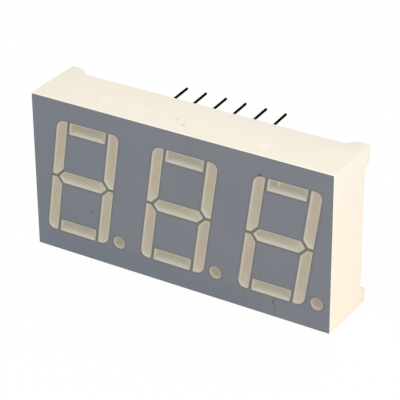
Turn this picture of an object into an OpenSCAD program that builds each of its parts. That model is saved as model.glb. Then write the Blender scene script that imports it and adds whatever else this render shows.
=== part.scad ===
// Three-digit seven segment LED display with 0.56 inch digits and twelve pins.
// The face looks along -Y, the pins point along +Y and the display stands on its long side, Z up.
// The origin is the middle of the pin field, on the plane where the four feet meet a circuit board.

/* [Housing] */
// Depth of the housing, from the face to the ends of the feet
housing_d = 8; // [7.6:0.1:12]
// Thickness of the four walls
wall_t = 1; // [0.7:0.1:1.5]
// Chamfer on the outer edges of the housing
edge_chamfer = 0.1; // [0.05:0.01:0.2]
// How far the rear rim stays short of the feet
rim_step = 1.15; // [0.8:0.05:1.4]
// Flat end of a foot, measured along the long side
foot_w = 1.45; // [1.2:0.05:3]
// Slope beside that flat end, down to the rim
foot_run_w = 1.1; // [0.2:0.1:2]
// Flat end of an upper foot, measured along the short side
upper_foot_h = 1.8; // [1.2:0.1:3]
// Flat end of a lower foot, measured along the short side
lower_foot_h = 1.55; // [1.2:0.05:3]
// Slope beside those flat ends, down to the rim
foot_run_h = 0.55; // [0.2:0.05:2]
// Side of the square corner stops that the circuit board rests on
stop_w = 1.2; // [0.8:0.1:1.4]

/* [Face coat] */
// Thickness of the grey coat on the face
coat_t = 0.06; // [0.04:0.01:0.1]
// Bare border between the coat and the chamfer round it
coat_border = 0.02; // [0.01:0.01:0.2]

/* [Digits] */
// Height of a digit
digit_h = 14.2; // [12:0.1:18]
// Width of a digit before it leans over
digit_w = 8.12; // [7:0.04:10]
// Gap between neighbouring digits, decimal point included
digit_gap = 4.3; // [3.9:0.02:6]
// How far the field of digits lies to the right of the pins' centre
digits_x = 0.14; // [-0.2:0.02:0.2]
// How far it lies above the pins' centre
digits_z = 0.07; // [-0.1:0.01:0.1]
// Angle by which the digits lean to the right
slant = 8; // [6:0.5:10]
// Width of the four upright segments
upright_w = 1.38; // [1.2:0.02:1.5]
// Height of the top and bottom segments
bar_h = 1.49; // [1.3:0.01:1.6]
// Height of the middle segment
middle_h = 1.5; // [1.3:0.05:1.6]
// Gap between neighbouring segments
segment_gap = 0.3; // [0.2:0.02:0.4]
// Flat end of an upright segment at the waist
nose_w = 0.65; // [0.5:0.05:0.9]
// Height of the slope beside that flat end
nose_rise = 0.86; // [0.6:0.02:1]
// Radius of the digit's four outer corners
digit_corner_r = 0.9; // [0.5:0.05:1.1]
// Radius of all other segment corners
segment_corner_r = 0.1; // [0.05:0.01:0.14]
// Diameter of the decimal point
point_d = 1.55; // [1.3:0.05:1.7]
// Gap between the digit and its decimal point
point_gap = 0.66; // [0.4:0.02:0.8]
// Height of the decimal point above the digit's foot line
point_lift = 0.07; // [0:0.01:0.2]

/* [Light wells] */
// Straight stretch of a well behind the face
well_land = 0.4; // [0.2:0.05:0.8]
// Length of a segment's well where it opens over the chip
well_hole_l = 2.4; // [2:0.1:3]
// Width of a segment's well where it opens over the chip
well_hole_w = 0.9; // [0.7:0.05:1.1]
// Diameter of a decimal point's well where it opens over the chip
point_hole_d = 1.2; // [1:0.05:1.25]

/* [Circuit board] */
// Thickness of the board
board_t = 1; // [0.8:0.1:1.2]
// Width of the board beyond the outermost digits
board_side = 1.12; // [1.04:0.02:3]
// Clearance between the board and the walls
board_gap = 0.2; // [0.1:0.05:0.4]
// Gap between the board and the front plate, set by the corner stops
board_standoff = 0.15; // [0.1:0.01:0.2]
// Thickness of the copper
copper_t = 0.04; // [0.02:0.01:0.06]
// Side of the square land under a chip
chip_land_w = 0.45; // [0.4:0.01:0.55]
// Side of the square land under the end of a bond wire
wire_land_w = 0.3; // [0.2:0.01:0.35]
// Outer diameter of the land round a pin
pin_land_d = 1.1; // [1:0.05:1.3]
// Board left between the pins' lands and its edge
land_margin = 0.13; // [0.05:0.01:0.5]

/* [Chips and bond wires] */
// Side of a chip
chip_w = 0.32; // [0.2:0.01:0.38]
// Height of a chip
chip_t = 0.22; // [0.15:0.01:0.3]
// Distance between the two ends of a bond wire
wire_span = 0.9; // [0.8:0.02:1.1]
// The same distance under a decimal point
point_wire_span = 0.6; // [0.56:0.02:0.66]
// Diameter of a bond wire
wire_d = 0.04; // [0.03:0.005:0.05]
// Angle that the arch of a bond wire sweeps through
wire_sweep = 120; // [90:5:150]
// Diameter of the bond at each end of a wire
bond_d = 0.1; // [0.08:0.01:0.12]
// Height of the bond at each end of a wire
bond_t = 0.06; // [0.05:0.005:0.07]

/* [Pins] */
// Distance between neighbouring pins
pin_pitch = 2.54; // [2:0.02:3]
// Distance from the top or bottom of the digits to the centre of a row of pins
row_margin = 0.52; // [0.5:0.01:1.5]
// Diameter of a pin
pin_d = 0.4; // [0.32:0.02:0.46]
// Diameter of its head, from which it tapers through the board and the epoxy
pin_head_d = 0.5; // [0.48:0.01:0.6]
// Length of that taper outside the epoxy
taper_show = 0.2; // [0.15:0.01:0.3]
// Diameter of the holes in the board
pin_hole_d = 0.8; // [0.7:0.02:0.9]
// Length of a pin beyond the feet
pin_reach = 4.8; // [3:0.1:10]
// Length of a pin in front of the board
pin_head = 0.4; // [0.2:0.05:0.6]
// Chamfer on a pin's tip
pin_chamfer = 0.08; // [0.03:0.01:0.15]
// Diameter of the pockets in the front plate that clear the pin heads
pocket_d = 1.2; // [1:0.05:1.3]
// Space between a pin head and the bottom of its pocket
pocket_gap = 0.25; // [0.1:0.05:0.5]
// Height of the solder cone round a pin
solder_h = 0.4; // [0.2:0.05:0.45]

/* [Epoxy] */
// Depth of the epoxy's back surface below the rim
epoxy_recess = 0.25; // [0.1:0.05:0.5]
// Thickness of the epoxy over the back of the board
epoxy_cover = 0.55; // [0.5:0.05:0.9]

/* [Hidden] */
$fn = 48;
digits = [1, 2, 3];
bars = ["a", "b", "c", "d", "e", "f", "g"];
lights = concat(bars, ["dp"]);
pins_per_row = 6;
pin_numbers = [for (n = [1 : 2 * pins_per_row]) n];

// How far a cutting shape runs past the face that it opens
cut = 0.2;

// Planes across the depth, from the face backwards
face_y = -housing_d;
plastic_y = face_y + coat_t;
rim_y = -rim_step;
epoxy_y = rim_y - epoxy_recess;
board_back_y = epoxy_y - epoxy_cover;
board_front_y = board_back_y - board_t;
plate_back_y = board_front_y - board_standoff;
well_depth = plate_back_y - face_y;

// Sizes across the face, from the digits and pins outwards
digit_pitch = digit_w + digit_gap;
row_spacing = digit_h + 2 * row_margin;
board_w = (len(digits) - 1) * digit_pitch + digit_w + 2 * board_side;
board_h = row_spacing + pin_land_d + 2 * land_margin;
cavity_w = board_w + 2 * board_gap;
cavity_h = board_h + 2 * board_gap;
housing_w = cavity_w + 2 * wall_t;
housing_h = cavity_h + 2 * wall_t;
coat_w = housing_w - 2 * (edge_chamfer + coat_border);
coat_h = housing_h - 2 * (edge_chamfer + coat_border);

// Where a pin's taper ends, behind the front of the board
taper_end = epoxy_y + taper_show - board_front_y;

half_digit_w = digit_w / 2;
half_digit_h = digit_h / 2;
waist = segment_gap / 2;
bar_reach = half_digit_w - upright_w - segment_gap;
upright_l = half_digit_h - waist;
point_z = point_lift + point_d / 2 - half_digit_h;
point_x = half_digit_w + point_z * tan(slant) + point_gap + point_d / 2;

// Corner points of one digit, before it leans

function unit(v) = v / norm(v);

function turned(v, angle) = [v.x * cos(angle) - v.y * sin(angle), v.x * sin(angle) + v.y * cos(angle)];

// One corner of a convex outline, replaced by an arc
function round_corner(before, corner, after, r) =
    let (
        to_before = unit(before - corner),
        to_after = unit(after - corner),
        half_angle = acos(to_before * to_after) / 2,
        centre = corner + unit(to_before + to_after) * r / sin(half_angle),
        first = corner + to_before * r / tan(half_angle) - centre,
        steps = max(2, round(r / 0.15))
    )
    [for (k = [0 : steps]) centre + turned(first, (180 - 2 * half_angle) * k / steps)];

function rounded(points, radii) =
    let (n = len(points))
    [for (i = [0 : n - 1])
        each round_corner(points[(i + n - 1) % n], points[i], points[(i + 1) % n], radii[i])];

function reversed(points) = [for (i = [len(points) - 1 : -1 : 0]) points[i]];

// A mirrored outline keeps running anticlockwise
function flipped(points, side, up) =
    let (moved = [for (p = points) [side * p.x, up * p.y]])
    side * up > 0 ? moved : reversed(moved);

function lean(p) = [p.x + p.y * tan(slant), p.y];

top_bar = rounded(
    [
        [-bar_reach, half_digit_h - bar_h],
        [bar_reach, half_digit_h - bar_h],
        [bar_reach, half_digit_h],
        [-bar_reach, half_digit_h]
    ],
    [for (i = [1 : 4]) segment_corner_r]
);

upper_left = rounded(
    [
        [-half_digit_w, waist],
        [nose_w - half_digit_w, waist],
        [upright_w - half_digit_w, waist + nose_rise],
        [upright_w - half_digit_w, half_digit_h],
        [-half_digit_w, half_digit_h]
    ],
    [for (i = [1 : 5]) i == 5 ? digit_corner_r : segment_corner_r]
);

// The middle segment's ends run parallel to the slopes of the uprights, one gap away
slope = [upright_w - nose_w, nose_rise];
slope_start = [nose_w - half_digit_w, waist] + segment_gap * unit([slope.y, -slope.x]);

function slope_x(z) = slope_start.x + slope.x * (z - slope_start.y) / slope.y;

middle_bar = rounded(
    [
        [slope_x(0), 0],
        [slope_x(middle_h / 2), -middle_h / 2],
        [-slope_x(middle_h / 2), -middle_h / 2],
        [-slope_x(0), 0],
        [-slope_x(middle_h / 2), middle_h / 2],
        [slope_x(middle_h / 2), middle_h / 2]
    ],
    [for (i = [1 : 6]) segment_corner_r]
);

function outline(s) =
    s == "a" ? top_bar
    : s == "d" ? flipped(top_bar, 1, -1)
    : s == "g" ? middle_bar
    : s == "f" ? upper_left
    : s == "b" ? flipped(upper_left, -1, 1)
    : s == "e" ? flipped(upper_left, 1, -1)
    : flipped(upper_left, -1, -1);

function is_upright(s) = s == "b" || s == "c" || s == "e" || s == "f";

// Middle of a segment before the digit leans
function middle(s) =
    s == "a" ? [0, half_digit_h - bar_h / 2]
    : s == "d" ? [0, bar_h / 2 - half_digit_h]
    : s == "g" ? [0, 0]
    : [
        (s == "b" || s == "c" ? 1 : -1) * (half_digit_w - upright_w / 2),
        (s == "b" || s == "f" ? 1 : -1) * (waist + upright_l / 2)
    ];

function bar_size(s) =
    is_upright(s) ? [upright_w, upright_l]
    : s == "g" ? [-2 * slope_x(0), middle_h]
    : [2 * bar_reach, bar_h];

// What is left of a segment's width and height where its well opens over the chip
function well_taper(s) =
    let (hole = is_upright(s) ? [well_hole_w, well_hole_l] : [well_hole_l, well_hole_w])
    [hole.x / bar_size(s).x, hole.y / bar_size(s).y];

// Where a light's chip and wire sit on the board, and the way they lie
function light_spot(s) = s == "dp" ? [point_x, point_z] : lean(middle(s));

function light_angle(s) = s == "dp" || is_upright(s) ? 90 - slant : 0;

function span_of(s) = s == "dp" ? point_wire_span : wire_span;

// Pins count from the lower left, to the right, then back along the upper row
function pin_spot(n) =
    n <= pins_per_row
        ? [(n - (pins_per_row + 1) / 2) * pin_pitch, -row_spacing / 2]
        : [((3 * pins_per_row + 1) / 2 - n) * pin_pitch, row_spacing / 2];

// Radius of a pin's taper at a depth behind the front of the board
function taper_r(depth) =
    pin_head_d / 2 - (pin_head_d - pin_d) / 2 * (depth + pin_head) / (taper_end + pin_head);

module at_digit(d) {
    translate([digits_x + (d - (len(digits) + 1) / 2) * digit_pitch, 0, digits_z])
        children();
}

// Puts X along the light's long axis and Z straight up from the front of the board
module on_board(d, s) {
    spot = light_spot(s);
    at_digit(d)
        translate([spot.x, board_front_y, spot.y])
            rotate([0, -light_angle(s), 0])
                rotate([90, 0, 0])
                    children();
}

// Puts Z along a pin, from the plane y backwards
module at_pin(n, y) {
    spot = pin_spot(n);
    translate([spot.x, y, spot.y])
        rotate([-90, 0, 0])
            children();
}

// A drawing of the face, carried backwards from the plane y
module from_face(y, depth) {
    translate([0, y + depth, 0])
        rotate([90, 0, 0])
            linear_extrude(depth)
                children();
}

// A smooth run through equal rings of points, closed by flat ends
module loft(rings) {
    n = len(rings[0]);
    sides = [for (r = [0 : len(rings) - 2], i = [0 : n - 1])
        [r * n + i, r * n + (i + 1) % n, (r + 1) * n + (i + 1) % n, (r + 1) * n + i]];
    first = [for (i = [n - 1 : -1 : 0]) i];
    last = [for (i = [0 : n - 1]) (len(rings) - 1) * n + i];
    polyhedron([for (ring = rings) each ring], concat(sides, [first, last]));
}

// One section of a segment's well: full at the face, drawn in by the taper over the chip
function well_section(s, y, taper) =
    [for (p = outline(s))
        let (q = lean(middle(s) + [(p.x - middle(s).x) * taper.x, (p.y - middle(s).y) * taper.y]))
        [q.x, y, q.y]];

// The inside of a segment's well, longer by the given extras at the two ends
module segment_well(s, extra) {
    loft(concat(
        [
            well_section(s, face_y - extra, [1, 1]),
            well_section(s, face_y + well_land, [1, 1]),
            well_section(s, plate_back_y, well_taper(s))
        ],
        extra > 0 ? [well_section(s, plate_back_y + extra, well_taper(s))] : []
    ));
}

module point_well(extra) {
    translate([point_x, face_y, point_z])
        rotate([-90, 0, 0])
            rotate_extrude()
                polygon([
                    [0, -extra],
                    [point_d / 2, -extra],
                    [point_d / 2, well_land],
                    [point_hole_d / 2, well_depth],
                    [point_hole_d / 2, well_depth + extra],
                    [0, well_depth + extra]
                ]);
}

module light_wells(extra = 0) {
    for (d = digits)
        at_digit(d) {
            for (s = bars)
                segment_well(s, extra);
            point_well(extra);
        }
}

// Room in the front plate for the pins' heads
module pin_pockets(extra = 0) {
    pocket_depth = pin_head - board_standoff + pocket_gap;
    for (n = pin_numbers)
        at_pin(n, plate_back_y - pocket_depth)
            cylinder(h = pocket_depth + extra, d = pocket_d);
}

function front_chamfered(half) =
    [
        [-half, 0],
        [-half, plastic_y + edge_chamfer],
        [edge_chamfer - half, plastic_y],
        [half - edge_chamfer, plastic_y],
        [half, plastic_y + edge_chamfer],
        [half, 0]
    ];

function corner_chamfered(x, z) =
    [
        [edge_chamfer - x, -z],
        [x - edge_chamfer, -z],
        [x, edge_chamfer - z],
        [x, z - edge_chamfer],
        [x - edge_chamfer, z],
        [edge_chamfer - x, z],
        [-x, z - edge_chamfer],
        [-x, edge_chamfer - z]
    ];

// The outer block, with every outer edge broken by the same small chamfer
module housing_block() {
    intersection() {
        linear_extrude(housing_h, center = true)
            polygon(front_chamfered(housing_w / 2));
        rotate([0, -90, 0])
            linear_extrude(housing_w, center = true)
                polygon(front_chamfered(housing_h / 2));
        from_face(plastic_y, -plastic_y)
            polygon(corner_chamfered(housing_w / 2, housing_h / 2));
    }
}

// The opening between two feet: a trapezium that narrows down to the rim
function foot_notch(half, first_flat, last_flat, run) =
    [
        [first_flat - half, cut],
        [first_flat - half, 0],
        [first_flat + run - half, rim_y],
        [half - last_flat - run, rim_y],
        [half - last_flat, 0],
        [half - last_flat, cut]
    ];

module foot_notches() {
    linear_extrude(housing_h + 2 * cut, center = true)
        polygon(foot_notch(housing_w / 2, foot_w, foot_w, foot_run_w));
    rotate([0, -90, 0])
        linear_extrude(housing_w + 2 * cut, center = true)
            polygon(foot_notch(housing_h / 2, lower_foot_h, upper_foot_h, foot_run_h));
}

module rear_cavity(y, depth) {
    from_face(y, depth)
        square([cavity_w, cavity_h], center = true);
}

module board_stops() {
    for (side = [-1, 1], up = [-1, 1])
        translate([side * (cavity_w - stop_w) / 2, plate_back_y + board_standoff / 2, up * (cavity_h - stop_w) / 2])
            cube([stop_w, board_standoff, stop_w], center = true);
}

module reflector_housing() {
    color("#f3ebdc")
        difference() {
            housing_block();
            difference() {
                rear_cavity(plate_back_y, cut - plate_back_y);
                board_stops();
            }
            foot_notches();
            light_wells(cut);
            pin_pockets(cut);
        }
}

module face_coat() {
    color("#7b7e85")
        difference() {
            from_face(face_y, coat_t)
                square([coat_w, coat_h], center = true);
            for (d = digits)
                at_digit(d)
                    from_face(face_y - cut, coat_t + 2 * cut) {
                        for (s = bars)
                            polygon([for (p = outline(s)) lean(p)]);
                        translate([point_x, point_z])
                            circle(d = point_d);
                    }
        }
}

module epoxy_fill() {
    color("#cbbfa4")
        difference() {
            union() {
                light_wells();
                pin_pockets();
                rear_cavity(plate_back_y, epoxy_y - plate_back_y);
            }
            board_stops();
            circuit_board();
            copper_foil();
            for (n = pin_numbers) {
                pin(n);
                solder_joint(n);
            }
            for (d = digits) {
                bond_wires(d);
                for (s = lights)
                    led(d, s);
            }
        }
}

module circuit_board() {
    color("#d9d3a5")
        difference() {
            from_face(board_front_y, board_t)
                square([board_w, board_h], center = true);
            for (n = pin_numbers)
                at_pin(n, board_front_y - cut)
                    cylinder(h = board_t + 2 * cut, d = pin_hole_d);
        }
}

module land(width) {
    translate([-width / 2, -width / 2, 0])
        cube([width, width, copper_t]);
}

module pin_land() {
    difference() {
        cylinder(h = copper_t, d = pin_land_d);
        translate([0, 0, -cut])
            cylinder(h = copper_t + 2 * cut, d = pin_hole_d);
    }
}

module copper_foil() {
    color("#b87333") {
        for (d = digits, s = lights)
            on_board(d, s) {
                translate([-span_of(s) / 2, 0, 0])
                    land(chip_land_w);
                translate([span_of(s) / 2, 0, 0])
                    land(wire_land_w);
            }
        for (n = pin_numbers) {
            at_pin(n, board_front_y - copper_t)
                pin_land();
            at_pin(n, board_back_y)
                pin_land();
        }
    }
}

module led(d, s) {
    color("#e8d24a")
        on_board(d, s)
            translate([-(span_of(s) + chip_w) / 2, -chip_w / 2, copper_t])
                cube([chip_w, chip_w, chip_t]);
}

// A gold arch from the top of the chip down to its land, with a bond at each end
module bond_wire(span) {
    chord = norm([span, chip_t]);
    arch_r = chord / 2 / sin(wire_sweep / 2);
    translate([-span / 2, 0, copper_t + chip_t])
        cylinder(h = bond_t, d = bond_d);
    translate([span / 2, 0, copper_t])
        cylinder(h = bond_t, d = bond_d);
    translate([0, 0, copper_t + (chip_t + bond_t) / 2])
        rotate([0, atan(chip_t / span), 0])
            translate([0, 0, -arch_r * cos(wire_sweep / 2)])
                rotate([90, 0, 0])
                    rotate([0, 0, 90 - wire_sweep / 2])
                        rotate_extrude(angle = wire_sweep)
                            translate([arch_r, 0])
                                circle(d = wire_d);
}

module bond_wires(d) {
    color("#e0b548")
        for (s = lights)
            on_board(d, s)
                bond_wire(span_of(s));
}

module pin(n) {
    pin_l = pin_head - board_front_y + pin_reach;
    color("#55524d")
        at_pin(n, board_front_y - pin_head)
            rotate_extrude()
                polygon([
                    [0, 0],
                    [pin_head_d / 2, 0],
                    [pin_d / 2, pin_head + taper_end],
                    [pin_d / 2, pin_l - pin_chamfer],
                    [pin_d / 2 - pin_chamfer, pin_l],
                    [0, pin_l]
                ]);
}

// Fills the hole round the pin and rises up it in a hollow curve
module solder_joint(n) {
    foot_z = board_t + copper_t;
    rise = pin_land_d / 2 - taper_r(foot_z + solder_h);
    color("#b9bcc0")
        at_pin(n, board_front_y)
            rotate_extrude()
                polygon(concat(
                    [
                        [taper_r(-copper_t), -copper_t],
                        [pin_hole_d / 2, -copper_t],
                        [pin_hole_d / 2, foot_z]
                    ],
                    [for (angle = [0 : 22.5 : 90])
                        [pin_land_d / 2 - rise * sin(angle), foot_z + solder_h * (1 - cos(angle))]]
                ));
}

reflector_housing();
face_coat();
epoxy_fill();
circuit_board();
copper_foil();
for (n = pin_numbers)
    pin(n);
for (n = pin_numbers)
    solder_joint(n);
for (d = digits)
    bond_wires(d);
for (d = digits, s = lights)
    led(d, s);
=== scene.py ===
# %% [markdown]
# # Dressing a three-digit seven segment display
#
# The object is an LED display of three digits, about 38 mm long. Its housing is one cream white
# moulding, its face is printed grey, and tan resin fills a light well behind every segment.
# The packed model brings each solid at its real place, in metres. X runs along the digits, Y runs
# backwards along the pins and Z runs up, and the display stands on its long side.
# Whatever is made below is built round those solids and rides on their one body.

# %% Load the packed model
import math

import bmesh
import bpy
import numpy as np
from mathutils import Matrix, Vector, geometry


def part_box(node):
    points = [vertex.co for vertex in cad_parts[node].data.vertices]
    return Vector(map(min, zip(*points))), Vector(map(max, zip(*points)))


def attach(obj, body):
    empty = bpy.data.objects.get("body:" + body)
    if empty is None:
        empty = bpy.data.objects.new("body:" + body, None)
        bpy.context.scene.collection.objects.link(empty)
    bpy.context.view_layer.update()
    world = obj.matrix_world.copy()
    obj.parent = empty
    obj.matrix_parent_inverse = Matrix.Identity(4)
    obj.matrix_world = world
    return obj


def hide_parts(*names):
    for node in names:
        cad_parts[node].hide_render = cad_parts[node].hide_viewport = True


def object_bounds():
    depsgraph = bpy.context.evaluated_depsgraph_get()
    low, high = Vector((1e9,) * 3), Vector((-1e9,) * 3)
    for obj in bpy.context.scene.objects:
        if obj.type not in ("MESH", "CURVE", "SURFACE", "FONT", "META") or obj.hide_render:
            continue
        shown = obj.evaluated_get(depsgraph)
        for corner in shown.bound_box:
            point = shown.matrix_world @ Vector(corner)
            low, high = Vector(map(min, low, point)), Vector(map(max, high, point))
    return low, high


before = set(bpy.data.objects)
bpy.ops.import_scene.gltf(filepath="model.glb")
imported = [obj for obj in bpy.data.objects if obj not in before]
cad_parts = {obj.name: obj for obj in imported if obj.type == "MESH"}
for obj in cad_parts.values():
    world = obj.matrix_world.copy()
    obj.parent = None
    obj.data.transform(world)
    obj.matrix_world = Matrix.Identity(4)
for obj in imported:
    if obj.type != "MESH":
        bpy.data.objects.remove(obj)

MM = 0.001
cad_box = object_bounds()
scene = bpy.context.scene
scene.view_settings.view_transform = "Standard"
cad_size = [round(side / MM, 2) for side in cad_box[1] - cad_box[0]]
print("solids:", len(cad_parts), "size in mm:", cad_size)

# %% [markdown]
# ## The camera
#
# The photograph was taken from above and from the display's right, with a long lens. A camera can
# be placed by eye, but the housing's corners and the tips of the pins fix it better: the numbers
# below are the one place, direction and focal length at which those points fall where the
# photograph has them.

# %% Place the camera
CAMERA_PLACE = Vector((96.029, -158.165, 100.105)) * MM
CAMERA_TURN = (61.011, 0.392, 31.593)
CAMERA_LENS = 171.486

camera = bpy.data.objects.new("camera", bpy.data.cameras.new("camera"))
camera.data.sensor_width = 36
camera.data.lens = CAMERA_LENS
camera.data.clip_start, camera.data.clip_end = 0.01, 10
camera.location = CAMERA_PLACE
camera.rotation_euler = [math.radians(angle) for angle in CAMERA_TURN]
scene.collection.objects.link(camera)
scene.camera = camera
print("camera at", [round(value, 4) for value in camera.location])

# %% [markdown]
# ## Four small helpers
#
# Every new piece is a mesh that sits at the origin, with its place in its vertices, because the solids
# are kept that way too. When a piece is finished it is fixed to the display: it rides on the body, and
# the solids that it stands for are hidden. Two more helpers shade a mesh round and turn a piece's
# modifiers into plain geometry.

# %% Add and fix pieces
def add_object(name, mesh):
    """Puts a mesh in the scene, at the origin."""
    piece = bpy.data.objects.new(name, mesh)
    scene.collection.objects.link(piece)
    return piece


def fix_to_display(piece, slot, *solids):
    """Makes a piece part of the display, in place of the solids that it stands for."""
    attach(piece, "root")
    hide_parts(*solids)
    low, high = piece.bound_box[0], piece.bound_box[6]
    size = [round((b - a) / MM, 2) for a, b in zip(low, high)]
    print(piece.name, "has", len(piece.data.polygons), "faces and measures", size, "mm")


def smooth(mesh, angle=35):
    """Shades a mesh round, apart from edges that are sharper than the angle."""
    mesh.shade_smooth()
    mesh.set_sharp_from_angle(angle=math.radians(angle))


def bake_modifiers(piece):
    """Bakes a piece's modifiers into a plain mesh and removes them."""
    graph = bpy.context.evaluated_depsgraph_get()
    mesh = bpy.data.meshes.new_from_object(piece.evaluated_get(graph))
    piece.modifiers.clear()
    piece.data = mesh


# %% [markdown]
# ## Finishes
#
# A finish is a node material. It starts as one colour and one roughness, and then gets layers, as
# paint does: another colour where a mask is high, and fine relief as a bump. The masks are noise at
# the size of the real grain, or a soft spot round a point. All of them read Object coordinates,
# which are metres on the display, so a pattern keeps its size and place on every piece.

# %% A finish in layers
class Finish:
    """A node material that is built up layer by layer."""

    def __init__(self, name, colour, roughness, metallic=0.0):
        self.material = bpy.data.materials.new(name)
        self.material.use_nodes = True
        self.nodes = self.material.node_tree.nodes
        self.shader = self.nodes["Principled BSDF"]
        self.shader.inputs["Roughness"].default_value = roughness
        self.shader.inputs["Metallic"].default_value = metallic
        self.place = self.add("ShaderNodeTexCoord").outputs["Object"]
        self.colour = (*colour, 1)
        self.shader.inputs["Base Color"].default_value = self.colour
        self.normal = None

    def feed(self, socket, value):
        """Sets a socket, or links it where the value is another node's output."""
        if isinstance(value, bpy.types.NodeSocket):
            self.material.node_tree.links.new(value, socket)
        else:
            socket.default_value = value

    def add(self, kind, inputs=None, **settings):
        """Adds a node, with its settings, and feeds its inputs."""
        node = self.nodes.new(kind)
        for name, value in settings.items():
            setattr(node, name, value)
        for name, value in (inputs or {}).items():
            self.feed(node.inputs[name], value)
        return node

    def noise(self, size_mm, detail=2.0, stretch=(1, 1, 1)):
        """Noise with features of about the given size, drawn out along the axes by the stretch."""
        drawn_out = {"Vector": self.place, "Scale": [1 / factor for factor in stretch]}
        scaled = self.add("ShaderNodeMapping", drawn_out).outputs[0]
        settings = {"Vector": scaled, "Scale": 1 / (size_mm * MM), "Detail": detail}
        return self.add("ShaderNodeTexNoise", settings).outputs[0]

    def band(self, value, low, high, strength=1.0):
        """0 where the value is at low, the strength where it is at high."""
        return self.add("ShaderNodeMapRange", {
            "Value": value, "From Min": low, "From Max": high, "To Max": strength}).outputs[0]

    def both(self, a, b, operation="MULTIPLY"):
        """Two values put together: their product, or the larger of the two."""
        return self.add("ShaderNodeMath", {0: a, 1: b}, operation=operation).outputs[0]

    def spot(self, centre_mm, radius_mm, strength=1.0, blur=0.6):
        """A soft spot round a point. The blur is the share of the radius over which it fades."""
        centre = [value * MM for value in centre_mm]
        reach = self.add("ShaderNodeVectorMath", {0: self.place, 1: centre}, operation="DISTANCE")
        edge = radius_mm * MM
        return self.band(reach.outputs["Value"], edge * (1 + blur), edge * (1 - blur), strength)

    def paint(self, colour, mask):
        """Lays a colour over what is there, as far as the mask says."""
        inputs = {0: mask, 6: self.colour, 7: (*colour, 1)}
        mix = self.add("ShaderNodeMix", inputs, data_type="RGBA")
        self.colour = mix.outputs[2]
        self.feed(self.shader.inputs["Base Color"], self.colour)

    def wear(self, mask, low, high):
        """Varies the roughness from low to high by a mask."""
        rough = self.add("ShaderNodeMapRange", {"Value": mask, "To Min": low, "To Max": high})
        self.feed(self.shader.inputs["Roughness"], rough.outputs[0])

    def relief(self, height, depth_mm):
        """Adds fine relief of the given depth."""
        inputs = {"Height": height, "Distance": depth_mm * MM}
        if self.normal:
            inputs["Normal"] = self.normal
        self.normal = self.add("ShaderNodeBump", inputs).outputs[0]
        self.feed(self.shader.inputs["Normal"], self.normal)


print("a finish can do:", ", ".join(name for name in vars(Finish) if not name.startswith("_")))

# %% [markdown]
# ## The white plastic
#
# The housing is moulded in cream white plastic with a satin skin. Seen close, the skin has a faint
# grain from the steel of the mould, and its colour drifts a little from place to place where the
# plastic flowed. The front edges are painted paler, a painted highlight where their rounding catches
# the light. The real one also has two pale rubs and two specks of dirt on its top side. Its right end,
# which faces the key lamp, is painted warmer and paler as painted light, most of all at the lower foot.
# The rubs, the specks and that painted light are laid on as spots.

# %% Housing plastic
PLASTIC = (0.888, 0.830, 0.720)
PLASTIC_DEEP = (0.858, 0.793, 0.670)
PLASTIC_PALE = (0.915, 0.862, 0.768)
RUB = (0.96, 0.93, 0.87)
DIRT = (0.42, 0.36, 0.28)
PAINTED_LIGHT_END = (0.955, 0.825, 0.698)
PAINTED_LIGHT_FOOT = (0.93, 0.83, 0.65)
PAINTED_EDGE_HIGHLIGHT = (0.920, 0.895, 0.850)
EDGE_HIGHLIGHT_START, EDGE_HIGHLIGHT_FULL = -7.72 * MM, -7.86 * MM
RUB_PLACES = [(-11.05, -5.25, 9.5), (9.42, -5.89, 9.5)]
DIRT_PLACES = [((-1.57, -5.34, 9.5), 0.15, 0.38), ((-0.2, -6.2, 9.5), 0.17, 0.58)]

plastic = Finish("housing_plastic", PLASTIC, 0.42)
plastic.paint(PLASTIC_DEEP, plastic.band(plastic.noise(7.0, 3.0), 0.45, 0.75, 0.7))
plastic.paint(PLASTIC_PALE, plastic.band(plastic.noise(2.6, 4.0, (2, 1, 1)), 0.52, 0.8, 0.6))
for place in RUB_PLACES:
    plastic.paint(RUB, plastic.spot(place, 0.45, 0.6, 0.8))
for place, size, strength in DIRT_PLACES:
    plastic.paint(DIRT, plastic.spot(place, size, strength, 0.7))
# Painted light: the right end, which faces the key lamp, is painted warmer and paler, most of all at
# the lower foot.
plastic.paint(PAINTED_LIGHT_END, plastic.spot((18.8, -4.0, -4.2), 6.5, 0.80, 0.9))
plastic.paint(PAINTED_LIGHT_FOOT, plastic.spot((18.8, -0.3, -9.0), 1.6, 0.6, 0.8))
front = plastic.add("ShaderNodeSeparateXYZ", {0: plastic.place}).outputs["Y"]
# Painted highlight: a paler band along the front edges, where their rounding catches the light.
plastic.paint(PAINTED_EDGE_HIGHLIGHT, plastic.band(front, EDGE_HIGHLIGHT_START, EDGE_HIGHLIGHT_FULL, 0.4))
plastic.wear(plastic.noise(1.5, 3.0), 0.36, 0.50)
plastic.relief(plastic.noise(0.09, 2.0), 0.004)
plastic.relief(plastic.noise(5.0, 1.0), 0.02)
print("housing plastic:", len(plastic.nodes), "nodes")

# %% [markdown]
# ## The grey print on the face
#
# The front is printed with a matt blue grey ink. Ink lies on the plastic's grain, so it is rougher than
# the housing, and it is a little uneven in tone. It is also painted cooler and darker to the left and
# along the lower edge. Next to the windows the ink is painted warmer, a painted glow of the warm light
# from the resin windows, and an attribute named near says where. A few small marks belong to this one
# display: a speck in the first digit, two above the third, and a short hooked scratch below it. The
# scratch is drawn as a string of small spots along its path.

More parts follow.
